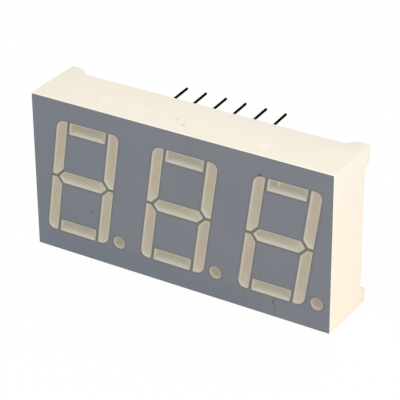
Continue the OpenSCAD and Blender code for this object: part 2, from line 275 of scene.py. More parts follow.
# %% Face print
# The ink's colour, which also paints the shadow line round every window.
INK_AND_EDGE_SHADOW = (0.163, 0.177, 0.210)
INK_DEEP = (0.152, 0.168, 0.204)
INK_PALE = (0.186, 0.199, 0.226)
COOL_INK = (0.147, 0.169, 0.206)
PAINTED_WINDOW_GLOW = (0.140, 0.132, 0.112)
DARK_MARK = (0.045, 0.045, 0.05)
FACE_Y = -8.0
SPECKS = [(-11.29, -3.34, 0.12, 0.65), (10.17, 7.17, 0.16, 1.0), (10.55, 7.84, 0.09, 0.4)]
SCRATCH = [
    (12.13, -7.36, 0.6), (12.02, -7.37, 1.0), (11.92, -7.48, 1.0), (11.89, -7.65, 0.7),
    (11.89, -7.83, 1.0), (12.01, -7.92, 0.6), (12.12, -8.03, 0.6), (12.14, -8.22, 0.55),
    (12.14, -8.42, 0.5), (12.16, -8.60, 0.4),
]
SCRATCH_WIDTH = 0.07

ink = Finish("face_coat", INK_AND_EDGE_SHADOW, 0.62)
ink.paint(INK_DEEP, ink.band(ink.noise(6.0, 3.0), 0.45, 0.75, 0.8))
ink.paint(INK_PALE, ink.band(ink.noise(0.35, 4.0), 0.5, 0.8, 0.8))
across = ink.add("ShaderNodeSeparateXYZ", {0: ink.place}).outputs
# Painted cooler and darker along the lower edge and towards the left.
low_edge = ink.band(across["Z"], -6.8 * MM, -7.6 * MM)
low_strip = ink.both(low_edge, ink.band(across["X"], 13 * MM, 7 * MM))
left_part = ink.band(across["X"], -3 * MM, -16 * MM, 0.6)
ink.paint(COOL_INK, ink.both(low_strip, left_part, "MAXIMUM"))
# Painted glow: the ink is tinted warmer next to the windows, where their warm light falls on it.
ink.paint(PAINTED_WINDOW_GLOW, ink.add("ShaderNodeAttribute", attribute_name="near").outputs["Fac"])
for x, z, size, strength in SPECKS:
    ink.paint(DARK_MARK, ink.spot((x, FACE_Y, z), size, strength, 0.8))
for x, z, strength in SCRATCH:
    ink.paint(DARK_MARK, ink.spot((x, FACE_Y, z), SCRATCH_WIDTH, strength, 0.9))
ink.wear(ink.noise(0.8, 3.0), 0.55, 0.72)
ink.relief(ink.noise(0.12, 3.0), 0.006)
print("face print:", len(ink.nodes), "nodes")

# %% [markdown]
# ## The resin
#
# The wells are cast full of milky resin. Where a well is deep the resin looks tan. The white walls of
# the well glow through it, and that light and shade is painted into the resin's colour: the lower and
# left walls catch the light, so the resin over them is painted paler, and the upper wall lies in shade,
# painted darker. In the middle of a decimal point the well is deepest for its size, and its shade there
# is painted brown. The ink's edge casts a thin shadow on the dished resin, painted as a dark line round
# every window. The window meshes carry four attributes, for the painted paleness, the shade, the brown
# shade and the shadow line, that say how much of each there is. One window has a short white chip in
# its surface. The pour at the back is the same resin, cast thicker and paler.

# %% Resin
RESIN = (0.398, 0.346, 0.256)
RESIN_PALE = (0.542, 0.522, 0.460)
RESIN_SHADE = (0.312, 0.290, 0.224)
# Painted shade in the deep middle of a decimal point.
RESIN_DEEP_SHADE = (0.300, 0.253, 0.183)
WARM_CLOUD = (0.460, 0.384, 0.272)
DARK_STREAK = (0.360, 0.332, 0.256)
PALE_STREAK = (0.450, 0.402, 0.300)
CHIPPED = (0.93, 0.93, 0.92)
CHIP_X, CHIP_HEIGHTS = 12.43, (6.57, 6.67, 6.77, 6.86)

resin = Finish("cast_resin", RESIN, 0.34)
resin.paint(WARM_CLOUD, resin.band(resin.noise(1.6, 3.0), 0.45, 0.75, 0.7))
resin.paint(DARK_STREAK, resin.band(resin.noise(0.25, 3.0, (1, 1, 5)), 0.48, 0.75, 0.8))
resin.paint(PALE_STREAK, resin.band(resin.noise(0.32, 2.0, (1, 1, 4)), 0.55, 0.78, 0.7))
# Painted light and shade: paler where the walls catch light, darker in shade, brown shade deep in the
# points, and the painted shadow of the ink's edge in the ink's colour.
layers = {"shade": RESIN_SHADE, "pale": RESIN_PALE, "brown": RESIN_DEEP_SHADE, "line": INK_AND_EDGE_SHADOW}
for name, colour in layers.items():
    resin.paint(colour, resin.add("ShaderNodeAttribute", attribute_name=name).outputs["Fac"])
for z in CHIP_HEIGHTS:
    resin.paint(CHIPPED, resin.spot((CHIP_X, FACE_Y, z), 0.08, 0.9, 0.7))
resin.relief(resin.noise(0.5, 3.0), 0.008)
resin.shader.inputs["Coat Weight"].default_value = 0.15
resin.shader.inputs["Coat Roughness"].default_value = 0.25

BACK_RESIN = (0.60, 0.52, 0.40)
BACK_CLOUD = (0.68, 0.60, 0.47)
BACK_BUBBLE = (0.50, 0.42, 0.31)

back_resin = Finish("back_resin", BACK_RESIN, 0.22)
back_resin.paint(BACK_CLOUD, back_resin.band(back_resin.noise(4.0, 3.0), 0.4, 0.7, 0.8))
back_resin.paint(BACK_BUBBLE, back_resin.band(back_resin.noise(0.5, 2.0), 0.68, 0.8, 0.5))
back_resin.relief(back_resin.noise(3.0, 2.0), 0.05)
print("resin:", len(resin.nodes), "and", len(back_resin.nodes), "nodes")

# %% [markdown]
# ## Metals, board and chips
#
# The pins are tinned wire that has gone dark. Drawing the wire leaves fine lines along it, so their
# noise is stretched along Y. The board, its copper, the solder, the chips and the gold wires are
# sealed in the resin, but they are real parts and get their own finishes too.

# %% Metals and inner parts
TARNISH = (0.013, 0.012, 0.010)
TARNISH_PALE = (0.032, 0.028, 0.023)
TARNISH_GLEAM = (0.12, 0.11, 0.10, 1)
FULL_METAL = 1.0

pin_metal = Finish("pin_metal", TARNISH, 0.38, FULL_METAL)
pin_metal.shader.inputs["Specular Tint"].default_value = TARNISH_GLEAM
drawn_lines = pin_metal.noise(0.12, 3.0, (1, 12, 1))
pin_metal.paint(TARNISH_PALE, pin_metal.band(drawn_lines, 0.45, 0.75, 0.8))
pin_metal.wear(pin_metal.noise(0.4, 2.0, (1, 4, 1)), 0.28, 0.5)
pin_metal.relief(pin_metal.noise(0.05, 2.0, (1, 20, 1)), 0.003)

solder = Finish("solder", (0.55, 0.55, 0.56), 0.3, FULL_METAL)
solder.paint((0.40, 0.40, 0.42), solder.band(solder.noise(0.2, 3.0), 0.45, 0.7))
solder.relief(solder.noise(0.12, 2.0), 0.006)

copper = Finish("copper", (0.72, 0.32, 0.15), 0.35, FULL_METAL)
copper.paint((0.50, 0.20, 0.10), copper.band(copper.noise(0.3, 3.0), 0.5, 0.8))

laminate = Finish("board_laminate", (0.62, 0.56, 0.30), 0.45)
warp, weft = laminate.noise(0.25, 1.0, (6, 1, 1)), laminate.noise(0.25, 1.0, (1, 1, 6))
weave = laminate.both(warp, weft, "MAXIMUM")
laminate.paint((0.70, 0.65, 0.42), laminate.band(weave, 0.5, 0.7))
laminate.relief(weave, 0.006)

gold = Finish("gold_wire", (0.85, 0.60, 0.20), 0.22, FULL_METAL)
gold.paint((0.95, 0.72, 0.32), gold.band(gold.noise(0.05, 1.0), 0.4, 0.7))

chip = Finish("led_chip", (0.85, 0.70, 0.20), 0.18)
chip.paint((0.75, 0.52, 0.12), chip.band(chip.noise(0.1, 2.0), 0.45, 0.7))
inner_finishes = (pin_metal, solder, copper, laminate, gold, chip)
print("nodes:", {finish.material.name: len(finish.nodes) for finish in inner_finishes})

# %% [markdown]
# ## The solids' finishes
#
# Every solid gets its finish by the start of its name, also those that a new piece will stand for.

# %% Give the solids their finishes
solid_finishes = {
    "face_coat": ink, "circuit_board": laminate, "copper_foil": copper, "solder_joint": solder,
    "bond_wires": gold, "led_": chip, "pin_": pin_metal, "epoxy_fill": back_resin,
    "reflector_housing": plastic,
}
for name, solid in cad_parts.items():
    finish = next(value for start, value in solid_finishes.items() if name.startswith(start))
    solid.data.materials.clear()
    solid.data.materials.append(finish.material)
print("finishes on", len(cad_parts), "solids")

# %% [markdown]
# ## A tree that repeats a piece in rows
#
# The three digits are one digit three times, and the twelve pins are one pin in two rows of six.
# Copying objects by hand would work, but a Geometry Nodes tree says it once: a line of points along X,
# a line of points along Z, a copy on every point. The copies are made real at the end, because
# instances are lost in an export.

# %% The tree
def node_in(tree, kind, **settings):
    """Adds a node to a tree, with its settings."""
    node = tree.nodes.new(kind)
    for name, value in settings.items():
        setattr(node, name, value)
    return node


def row_tree():
    """Builds the tree. Its inputs are the piece, the two counts, the two spacings and the finish."""
    tree = bpy.data.node_groups.new("rows_of_copies", "GeometryNodeTree")
    for name, kind in (
        ("Piece", "Geometry"), ("Columns", "Int"), ("Column spacing", "Float"),
        ("Rows", "Int"), ("Row spacing", "Float"), ("Finish", "Material"),
    ):
        tree.interface.new_socket(name, in_out="INPUT", socket_type="NodeSocket" + kind)
    tree.interface.new_socket("Copies", in_out="OUTPUT", socket_type="NodeSocketGeometry")
    given = node_in(tree, "NodeGroupInput")
    link = tree.links.new
    copies = given.outputs["Piece"]
    for count, spacing, axis in (("Columns", "Column spacing", "X"), ("Rows", "Row spacing", "Z")):
        offset = node_in(tree, "ShaderNodeCombineXYZ")
        points = node_in(tree, "GeometryNodeMeshLine", mode="OFFSET")
        placed = node_in(tree, "GeometryNodeInstanceOnPoints")
        link(given.outputs[spacing], offset.inputs[axis])
        link(given.outputs[count], points.inputs["Count"])
        link(offset.outputs[0], points.inputs["Offset"])
        link(points.outputs[0], placed.inputs["Points"])
        link(copies, placed.inputs["Instance"])
        copies = placed.outputs[0]
    real = node_in(tree, "GeometryNodeRealizeInstances")
    finish = node_in(tree, "GeometryNodeSetMaterial")
    out = node_in(tree, "NodeGroupOutput")
    link(copies, real.inputs[0])
    link(real.outputs[0], finish.inputs["Geometry"])
    link(given.outputs["Finish"], finish.inputs["Material"])
    link(finish.outputs[0], out.inputs[0])
    return tree


ROWS = row_tree()
print("tree:", len(ROWS.nodes), "nodes")


# %% Repeat a piece
def repeat(piece, finish, columns, column_spacing, rows=1, row_spacing=0.0):
    """Repeats a piece to the right and upwards, and leaves one plain mesh."""
    modifier = piece.modifiers.new("rows", "NODES")
    modifier.node_group = ROWS
    wanted = {
        "Columns": columns, "Column spacing": float(column_spacing), "Rows": rows,
        "Row spacing": float(row_spacing), "Finish": finish.material,
    }
    for socket in ROWS.interface.items_tree:
        if socket.name in wanted:
            modifier[socket.identifier] = wanted[socket.name]
    bake_modifiers(piece)


print("inputs and output of the tree:", [socket.name for socket in ROWS.interface.items_tree])

# %% [markdown]
# ## The windows' outlines
#
# The windows have to fit the wells exactly, so their outlines are read from the packed resin: its flat
# faces on the face plane are the windows. The edges that only one of those faces has run round each
# window, and following them from corner to corner gives its outline. The digits of the photographed
# display are a hair lower than the nominal ones, so the bars' outlines are drawn in towards the
# digits' middle, along the lean, by about a hundredth of their height. The points stay in place.

# %% Follow the edges
MERGE_DISTANCE = 1e-7
ON_THE_PLANE = 1e-6


def outlines_at(solid, depth):
    """Closed outlines, as (x, z) points, of a solid's flat faces on one plane across the depth."""
    mesh = bmesh.new()
    mesh.from_mesh(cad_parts[solid].data)
    bmesh.ops.remove_doubles(mesh, verts=mesh.verts, dist=MERGE_DISTANCE)
    flat = dict.fromkeys(
        face for face in mesh.faces if all(abs(v.co.y - depth) < ON_THE_PLANE for v in face.verts))
    after = {}
    for face in flat:
        for corner in face.loops:
            if sum(other in flat for other in corner.edge.link_faces) == 1:
                after[corner.vert] = corner.link_loop_next.vert
    outlines = []
    while after:
        first, vert = after.popitem()
        outline = [first]
        while vert is not first:
            outline.append(vert)
            vert = after.pop(vert)
        outlines.append([(v.co.x, v.co.z) for v in outline])
    mesh.free()
    return outlines


face_outlines = outlines_at("epoxy_fill", FACE_Y * MM)
print(len(face_outlines), "outlines on the face plane")

# %% Fit the windows' outlines
DIGITS = 3
DIGIT_PITCH = 12.42 * MM
DIGITS_MIDDLE = 0.07 * MM
SLANT = math.tan(math.radians(8))
SHRINK = 0.012
SHIFT_LEFT = 0.018 * MM
POINT_LIMIT = 2 * MM


def drawn_to_middle(outline):
    """A bar's outline, drawn in towards the digits' middle. A point's outline stays as it is."""
    if np.ptp(outline, axis=0).max() < POINT_LIMIT:
        return outline
    drops = [SHRINK * (z - DIGITS_MIDDLE) for x, z in outline]
    return [(x - SLANT * drop - SHIFT_LEFT, z - drop) for (x, z), drop in zip(outline, drops)]


windows = [drawn_to_middle(outline) for outline in face_outlines]
first_digit = [outline for outline in windows if np.mean(outline, axis=0)[0] < -DIGIT_PITCH / 2]
print(len(windows), "windows,", len(first_digit), "in the first digit")

# %% [markdown]
# ## Curved skins
#
# Resin shrinks as it sets, and it clings to the walls, so each window is a shallow dish, and the pour
# at the back creeps up the walls and the pins. One flat polygon can't show that. A skin is a mesh of
# small triangles inside an outline, whose points are pushed in or out by how far they lie from the
# nearest edge. Three helpers measure an outline, and Delaunay triangulation then makes the triangles
# from a grid of points.

# %% Measure an outline
TINY = 1e-9


def cut_up(outline, step):
    """The same outline with extra points, so that none of its edges is longer than the step."""
    points = []
    for here, there in zip(outline, outline[1:] + outline[:1]):
        count = max(1, math.ceil(math.dist(here, there) / step))
        run = np.array(there) - here
        points += [tuple(np.array(here) + run * k / count) for k in range(count)]
    return points


def nearest_edge(points, outline):
    """Each point's distance to an outline, and the direction of the nearest place on it."""
    start = np.array(outline)
    run = np.roll(start, -1, axis=0) - start
    share = ((points[:, None] - start) * run).sum(2) / (run * run).sum(1)
    away = start + np.clip(share, 0, 1)[..., None] * run - points[:, None]
    distance = np.linalg.norm(away, axis=2)
    best = distance.argmin(1)
    each = np.arange(len(points))
    nearest = distance[each, best]
    return nearest, away[each, best] / np.maximum(nearest, TINY)[:, None]


def inside(points, outline):
    """Which points lie inside an outline: a line to the right crosses it an odd number of times."""
    start = np.array(outline)
    end = np.roll(start, -1, axis=0)
    x, z = points[:, :1], points[:, 1:]
    spans = (start[:, 1] > z) != (end[:, 1] > z)
    rise = np.where(end[:, 1] == start[:, 1], 1, end[:, 1] - start[:, 1])
    crossing = start[:, 0] + (z - start[:, 1]) * (end[:, 0] - start[:, 0]) / rise
    return (spans & (x < crossing)).sum(1) % 2 == 1


square = [(0, 0), (1, 0), (1, 1), (0, 1)]
distance, direction = nearest_edge(np.array([(0.5, 0.4)]), square)
print("from (0.5, 0.4) in a square the nearest edge lies", distance[0], "away, towards", direction[0])

# %% Fill an outline
CLEAR_OF_EDGES = 0.45


def skin(outline, step, holes=()):
    """Points and triangles that fill an outline, apart from its holes, and the outlines cut up."""
    loops = [cut_up(loop, step) for loop in (outline, *holes)]
    low, high = np.min(outline, axis=0), np.max(outline, axis=0)
    columns, rows = (np.arange(low[axis] + step / 2, high[axis], step) for axis in (0, 1))
    grid = np.array([(x, z) for x in columns for z in rows])
    keep = inside(grid, loops[0])
    for loop in loops:
        keep &= nearest_edge(grid, loop)[0] > step * CLEAR_OF_EDGES
    for hole in loops[1:]:
        keep &= ~inside(grid, hole)
    points = [Vector(p) for loop in loops for p in loop] + [Vector(p) for p in grid[keep]]
    edges, first = [], 0
    for loop in loops:
        edges += [(first + k, first + (k + 1) % len(loop)) for k in range(len(loop))]
        first += len(loop)
    spread, _, triangles, *_ = geometry.delaunay_2d_cdt(points, edges, [], 0, TINY)
    flat = np.array([tuple(p) for p in spread])
    middles = flat[np.array(triangles)].mean(1)
    wanted = inside(middles, loops[0])
    for hole in loops[1:]:
        wanted &= ~inside(middles, hole)
    return flat, [t for t, ok in zip(triangles, wanted) if ok], loops


print("triangles in a skin over a square, ten steps wide:", len(skin(square, 0.1)[1]))


# %% [markdown]
# ## The windows
#
# A window is the front end of a plug of resin that fills its well. The skin is its dished front. Its
# border is drawn straight back, then drawn in towards the small hole over the chip, and closed. The
# wells lean with the digits, so a plug is drawn in along the leaning directions.

# %% Shape a plug
WELL_LAND = -7.6 * MM
PLATE_TO_BOARD = 0.15 * MM
PLATE_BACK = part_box("circuit_board")[0].y - PLATE_TO_BOARD
HOLE_LONG, HOLE_SHORT, POINT_HOLE = 2.4 * MM, 0.9 * MM, 1.2 * MM
print("a plug runs from", FACE_Y, "mm back to", round(PLATE_BACK / MM, 2), "mm")


def drawn_in(outline):
    """A function that moves a point of the outline to its place on the hole over the chip."""
    upright = np.array(outline) - np.outer(np.array(outline)[:, 1], (SLANT, 0))
    low, high = upright.min(0), upright.max(0)
    size, middle = high - low, (low + high) / 2
    if size.max() < POINT_LIMIT:
        hole = (POINT_HOLE, POINT_HOLE)
    elif size[0] > size[1]:
        hole = (HOLE_LONG, HOLE_SHORT)
    else:
        hole = (HOLE_SHORT, HOLE_LONG)

    def move(x, z):
        u = middle[0] + (x - SLANT * z - middle[0]) * hole[0] / size[0]
        w = middle[1] + (z - middle[1]) * hole[1] / size[1]
        return u + SLANT * w, w

    return move


def close_behind(mesh, rings):
    """Draws a skin's border back through the rings and closes it."""
    border = [edge for edge in mesh.edges if edge.is_boundary]
    for ring in rings:
        made = bmesh.ops.extrude_edge_only(mesh, edges=border)["geom"]
        border = [part for part in made if isinstance(part, bmesh.types.BMEdge)]
        for vert in {vert for edge in border for vert in edge.verts}:
            ring(vert.co)
    bmesh.ops.edgeloop_fill(mesh, edges=border)
    bmesh.ops.recalc_face_normals(mesh, faces=mesh.faces)


# %% [markdown]
# ## The light in a window
#
# Each kind of window holds the light in its own way, and that light is painted into the resin, so a
# table gives four values for each kind: the painted shade all over, the painted shade under its upper
# edge, the painted glow of its bright end, and how far that glow reaches in mm. The bright end is the
# lower end of an upright and the right end of a bar. The other numbers say how wide the painted shadow
# line, the pale rim and the painted shades along the edges are, in mm, and how strong.

# %% Light by place
KINDS = {
    "upright": (0.0, 0.12, 0.70, 1.2), "top bar": (0.78, 0.45, 0.40, 0.5),
    "middle bar": (0.16, 0.50, 1.00, 0.8), "bottom bar": (0.31, 0.50, 0.35, 0.5),
    "point": (0.75, 0.25, 0.0, 1.0),
}
BAR_LIMIT = 3
LIT_WALL, LIT_FROM_BELOW, LIT_FROM_LEFT = 0.42, 0.34, 0.25
GLOW_FROM, GLOW_WIDTH, GLOW_WIDER_BELOW = 0.12, 0.14, 0.22
UPPER_SHADE_WIDTH = 0.55
RIGHT_SHADE, RIGHT_SHADE_WIDTH = 0.30, 0.35
# How strong and wide the painted shadow line round a window is.
EDGE_SHADOW, EDGE_SHADOW_ABOVE, EDGE_SHADOW_RIGHT, EDGE_SHADOW_WIDTH = 0.60, 0.30, 0.25, 0.045
RIM, RIM_FROM_EDGE, RIM_WIDTH, RIM_WIDER_RIGHT = 0.65, 0.09, 0.08, 0.06
POINT_GLOW, POINT_RIM = 0.65, 0.36


def kind_of(outline):
    """Names a window's kind, by its size and its height on the digit."""
    low, high = np.min(outline, axis=0) / MM, np.max(outline, axis=0) / MM
    if max(high - low) < POINT_LIMIT / MM:
        return "point"
    if high[1] - low[1] > BAR_LIMIT:
        return "upright"
    if low[1] > BAR_LIMIT:
        return "top bar"
    return "bottom bar" if high[1] < -BAR_LIMIT else "middle bar"


def fade(distance, width):
    """1 at no distance, and almost 0 at twice the width."""
    return math.exp(-((distance / width) ** 2))


def light_in(kind, depth, side, up, away):
    """
    How much painted light, painted shade, painted brown shade of depth and painted edge shadow the
    resin gets, in a window of a kind. Depth is how far the nearest edge lies, side and up its
    direction, and away how far the window's bright end lies, all in mm.
    """
    shade, upper_shade, end_glow, reach = KINDS[kind]
    above, below, right = max(up, 0), max(-up, 0), max(side, 0)
    lit = min(max(LIT_WALL - LIT_FROM_BELOW * up - LIT_FROM_LEFT * side, 0), 1)
    pale = lit * fade(max(depth - GLOW_FROM, 0), GLOW_WIDTH + GLOW_WIDER_BELOW * below)
    shade += upper_shade * above * fade(depth, UPPER_SHADE_WIDTH)
    shade += RIGHT_SHADE * right * fade(depth, RIGHT_SHADE_WIDTH)
    tilt = 0 if kind == "upright" else up
    # Painted shadow line cast by the ink's edge, strongest above and at the right.
    line = fade(depth, EDGE_SHADOW_WIDTH) * (EDGE_SHADOW + EDGE_SHADOW_ABOVE * tilt + EDGE_SHADOW_RIGHT * right)
    brown = 0.0
    if kind == "point":
        pale *= POINT_GLOW
        # Painted brown shade, deepening towards the middle of a point.
        brown = 1 - fade(depth, POINT_RIM)
    else:
        rim = RIM * fade(depth - RIM_FROM_EDGE, RIM_WIDTH + RIM_WIDER_RIGHT * right)
        pale = max(pale, rim, end_glow * math.exp(-away / reach))
    return {"pale": pale, "shade": min(shade, 1), "line": line, "brown": brown}


print("windows by kind:", {kind: [kind_of(w) for w in windows].count(kind) for kind in KINDS})

# %% [markdown]
# ## A digit of windows
#
# Eight plugs make a digit, and the tree repeats the digit. Every point of a window's front gets its
# depth in the dish and its four values of light.

# %% Add a plug
LAYERS = ("pale", "shade", "line", "brown")
DISH = 0.10 * MM
DISH_WIDTH = 0.16 * MM


def add_plug(mesh, outline, front, back, step, dish):
    """Adds one plug to a mesh. Its front is dished by the given depth."""
    flat, triangles, _ = skin(outline, step)
    reach, direction = nearest_edge(flat, outline)
    part = bmesh.new()
    layers = {name: part.verts.layers.float.new(name) for name in LAYERS}
    kind = kind_of(outline)
    away = flat[:, 1] - flat[:, 1].min() if kind == "upright" else flat[:, 0].max() - flat[:, 0]
    verts = []
    for (x, z), d, (side, up), end in zip(flat, reach, direction, away):
        vert = part.verts.new((x, front + dish * (1 - math.exp(-d / DISH_WIDTH)), z))
        for name, value in light_in(kind, d / MM, side, up, end / MM).items():
            vert[layers[name]] = value
        verts.append(vert)
    for triangle in triangles:
        part.faces.new([verts[k] for k in triangle])
    move = drawn_in(outline)

    def to_land(co):
        co.y = WELL_LAND

    def to_hole(co):
        co.x, co.z = move(co.x, co.z)
        co.y = PLATE_BACK

    def past_hole(co):
        co.y = back

    close_behind(part, [to_land, to_hole] + ([past_hole] if back > PLATE_BACK else []))
    loose = bpy.data.meshes.new("plug")
    part.to_mesh(loose)
    part.free()
    mesh.from_mesh(loose)


print("every point of a plug carries:", ", ".join(LAYERS))

# %% Make the windows
WINDOW_STEP = 0.085 * MM


def digit_of_plugs(name, front, back, step, dish=0.0):
    """The eight plugs of the first digit as one object."""
    mesh = bmesh.new()
    for outline in first_digit:
        add_plug(mesh, outline, front, back, step, dish)
    data = bpy.data.meshes.new(name)
    mesh.to_mesh(data)
    mesh.free()
    return add_object(name, data)


windows_piece = digit_of_plugs("segment_windows", FACE_Y * MM, PLATE_BACK, WINDOW_STEP, DISH)
repeat(windows_piece, resin, DIGITS, DIGIT_PITCH)
smooth(windows_piece.data)
fix_to_display(windows_piece, "epoxy", "epoxy_fill")

# %% [markdown]
# ## The print
#
# The ink is a film with one hole for each window. It is made again as a skin, front and back, so
# that its points can carry how near the windows are. On the real display the ink runs a hair over
# the rounded edge at the right and at the top, so the film reaches a little further there.

# %% Print the face
PRINT_STEP = 0.25 * MM
NEAR_WIDTH = 0.13 * MM
OVER_EDGE = Vector((0.03, 0, 0.015)) * MM
coat_low, coat_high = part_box("face_coat")
coat_high += OVER_EDGE


def print_skin():
    """The film of ink: a front sheet, a back sheet and the strips that join them round every edge."""
    border = [(coat_low.x, coat_low.z), (coat_high.x, coat_low.z),
              (coat_high.x, coat_high.z), (coat_low.x, coat_high.z)]
    flat, triangles, loops = skin(border, PRINT_STEP, windows)
    reach = np.min([nearest_edge(flat, loop)[0] for loop in loops[1:]], axis=0)
    mesh = bmesh.new()
    near = mesh.verts.layers.float.new("near")
    sheets = []
    for y in (coat_low.y, coat_high.y):
        sheet = [mesh.verts.new((x, y, z)) for x, z in flat]
        for vert, d in zip(sheet, reach):
            vert[near] = fade(d, NEAR_WIDTH)
        sheets.append(sheet)
    for triangle in triangles:
        for sheet in sheets:
            mesh.faces.new([sheet[k] for k in triangle])
    number = {vert: k for k, vert in enumerate(sheets[0])}
    for edge in [edge for edge in mesh.edges if edge.is_boundary and edge.verts[0] in number]:
        a, b = (number[vert] for vert in edge.verts)
        mesh.faces.new((sheets[0][a], sheets[0][b], sheets[1][b], sheets[1][a]))
    bmesh.ops.recalc_face_normals(mesh, faces=mesh.faces)
    print("open edges in the print:", sum(edge.is_boundary for edge in mesh.edges))
    data = bpy.data.meshes.new("face_print")
    mesh.to_mesh(data)
    mesh.free()
    return add_object("face_print", data)


face_print = print_skin()
face_print.data.materials.append(ink.material)
fix_to_display(face_print, "face_coat", "face_coat")

# %% [markdown]
# ## The pour at the back
#
# The back of the display is closed by the same resin, poured over the board. Its surface is almost
# flat, but it creeps up the four walls and up every pin. The skin is made as before, with twelve
# holes for the pins, and its edges are drawn down to the board. The resin's box is no measure for
# the wall on the right, because the third point's window reaches further out than the cavity, so the
# wall on the left gives the cavity's half length.

# %% Measure the back
PIN_PITCH = 2.54 * MM
ROW_SPACING = 15.24 * MM
PINS_PER_ROW = 6
BOARD_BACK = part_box("circuit_board")[1].y
resin_low, resin_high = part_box("epoxy_fill")
RESIN_BACK = resin_high.y
CAVITY_X, CAVITY_Z = -resin_low.x, resin_high.z
pin_places = [
    ((column - (PINS_PER_ROW - 1) / 2) * PIN_PITCH, side * ROW_SPACING / 2)
    for side in (-1, 1) for column in range(PINS_PER_ROW)
]
cavity_size = [round(2 * half / MM, 2) for half in (CAVITY_X, CAVITY_Z)]
print("cavity in mm:", cavity_size, "with", len(pin_places), "pins")

# %% Pour the back
CREEP = 0.16 * MM
CREEP_WIDTH = 0.35 * MM
PIN_HOLE = 0.148 * MM
POUR_STEP = 0.30 * MM


def circle(middle, radius, count=24):
    """Points on a circle, once round."""
    turns = [2 * math.pi * k / count for k in range(count)]
    return [(middle[0] + radius * math.cos(t), middle[1] + radius * math.sin(t)) for t in turns]


def back_skin():
    """The pour's surface with its creep, and its sides down to the board."""
    wall = [(-CAVITY_X, -CAVITY_Z), (CAVITY_X, -CAVITY_Z), (CAVITY_X, CAVITY_Z), (-CAVITY_X, CAVITY_Z)]
    holes = [circle(place, PIN_HOLE) for place in pin_places]
    flat, triangles, loops = skin(wall, POUR_STEP, holes)
    reach = np.min([nearest_edge(flat, loop)[0] for loop in loops], axis=0)
    mesh = bmesh.new()
    verts = [mesh.verts.new((x, RESIN_BACK + CREEP * math.exp(-d / CREEP_WIDTH), z))
             for (x, z), d in zip(flat, reach)]
    for triangle in triangles:
        mesh.faces.new([verts[k] for k in reversed(triangle)])
    border = [edge for edge in mesh.edges if edge.is_boundary]
    made = bmesh.ops.extrude_edge_only(mesh, edges=border)["geom"]
    below = [part for part in made if isinstance(part, bmesh.types.BMEdge)]
    for vert in {vert for edge in below for vert in edge.verts}:
        vert.co.y = BOARD_BACK
    bmesh.ops.triangle_fill(mesh, use_beauty=True, edges=below)
    bmesh.ops.recalc_face_normals(mesh, faces=mesh.faces)
    print("open edges in the back pour:", sum(edge.is_boundary for edge in mesh.edges))
    data = bpy.data.meshes.new("back_pour")
    mesh.to_mesh(data)
    mesh.free()
    return add_object("back_pour", data)


back_pour = back_skin()
back_pour.data.materials.append(back_resin.material)
smooth(back_pour.data)
fix_to_display(back_pour, "epoxy", "epoxy_fill")

# %% [markdown]
# ## The pins
#
# A pin is a turned shape, so one profile is enough: radius against place along the pin. It is
# thickest at its head, tapers slightly through the board, and ends in a small chamfer. The profile is
# swept round in rings, and the tree sets two rows of six. Thin pins never stay straight in
# handling, so behind the resin each column leans a little to the left, as the photograph shows.

# %% Turn one pin and repeat it
PIN_PROFILE = [
    (0.0, -3.35), (0.22, -3.35), (0.25, -3.32), (0.15, -1.20),
    (0.15, 4.72), (0.14, 4.765), (0.10, 4.80), (0.0, 4.80),
]
PIN_SIDES = 32
SIDE_LEANS = (-0.041, -0.050, -0.042, -0.047, -0.037, -0.048)
UP_LEAN = 0.012


def turned(profile, middle, sides):
    """Sweeps a profile of (radius, y) in mm round the line through a middle."""
    mesh = bmesh.new()
    rings = []
    for radius, y in profile:
        places = circle(middle, radius * MM, sides) if radius else [middle]
        rings.append([mesh.verts.new((x, y * MM, z)) for x, z in places])
    for ring, after in zip(rings, rings[1:]):
        for k in range(sides):
            corners = [ring[k % len(ring)], ring[(k + 1) % len(ring)],
                       after[(k + 1) % len(after)], after[k % len(after)]]
            mesh.faces.new(list(dict.fromkeys(corners)))
    bmesh.ops.recalc_face_normals(mesh, faces=mesh.faces)
    data = bpy.data.meshes.new("pin")
    mesh.to_mesh(data)
    mesh.free()
    return data


pins = add_object("pin_rows", turned(PIN_PROFILE, pin_places[0], PIN_SIDES))
repeat(pins, pin_metal, PINS_PER_ROW, PIN_PITCH, 2, ROW_SPACING)
for vert in pins.data.vertices:
    column = round((vert.co.x - pin_places[0][0]) / PIN_PITCH)
    past = max(vert.co.y - RESIN_BACK, 0)
    vert.co += Vector((SIDE_LEANS[column] * past, 0, UP_LEAN * past))
smooth(pins.data)
fix_to_display(pins, "pin_metal", *[f"pin_{n}" for n in range(1, 2 * PINS_PER_ROW + 1)])

# %% [markdown]
# ## The housing
#
# A moulded housing has no sharp edges: light always catches a small radius. The packed solid has
# plain chamfers, so the housing is made again as a toolmaker would cut it: a block, minus the cavity
# at the back, minus the gaps between the four feet. Every tool reaches half a millimetre past what it
# cuts. Then a Bevel rounds every edge that is left, and last the wells are cut through the front
# plate with plugs of the same shape as the windows.

# %% Cutting tools
PAST = 0.5
RIM_PAST_RESIN = 0.32
RIM_Y = RESIN_BACK / MM + RIM_PAST_RESIN


def prism(name, profile, axis, half_length):
    """A closed prism. The profile's points are in mm in the two other directions."""
    mesh = bmesh.new()
    ends = []
    for side in (-half_length, half_length):
        ring = []
        for u, v in profile:
            place = {"x": (side, v, u), "y": (u, side, v), "z": (u, v, side)}[axis]
            ring.append(mesh.verts.new(Vector(place) * MM))
        ends.append(ring)
        mesh.faces.new(ring)
    for k in range(len(profile)):
        after = (k + 1) % len(profile)
        mesh.faces.new((ends[0][k], ends[0][after], ends[1][after], ends[1][k]))
    bmesh.ops.recalc_face_normals(mesh, faces=mesh.faces)
    data = bpy.data.meshes.new(name)
    mesh.to_mesh(data)
    mesh.free()
    return add_object(name, data)


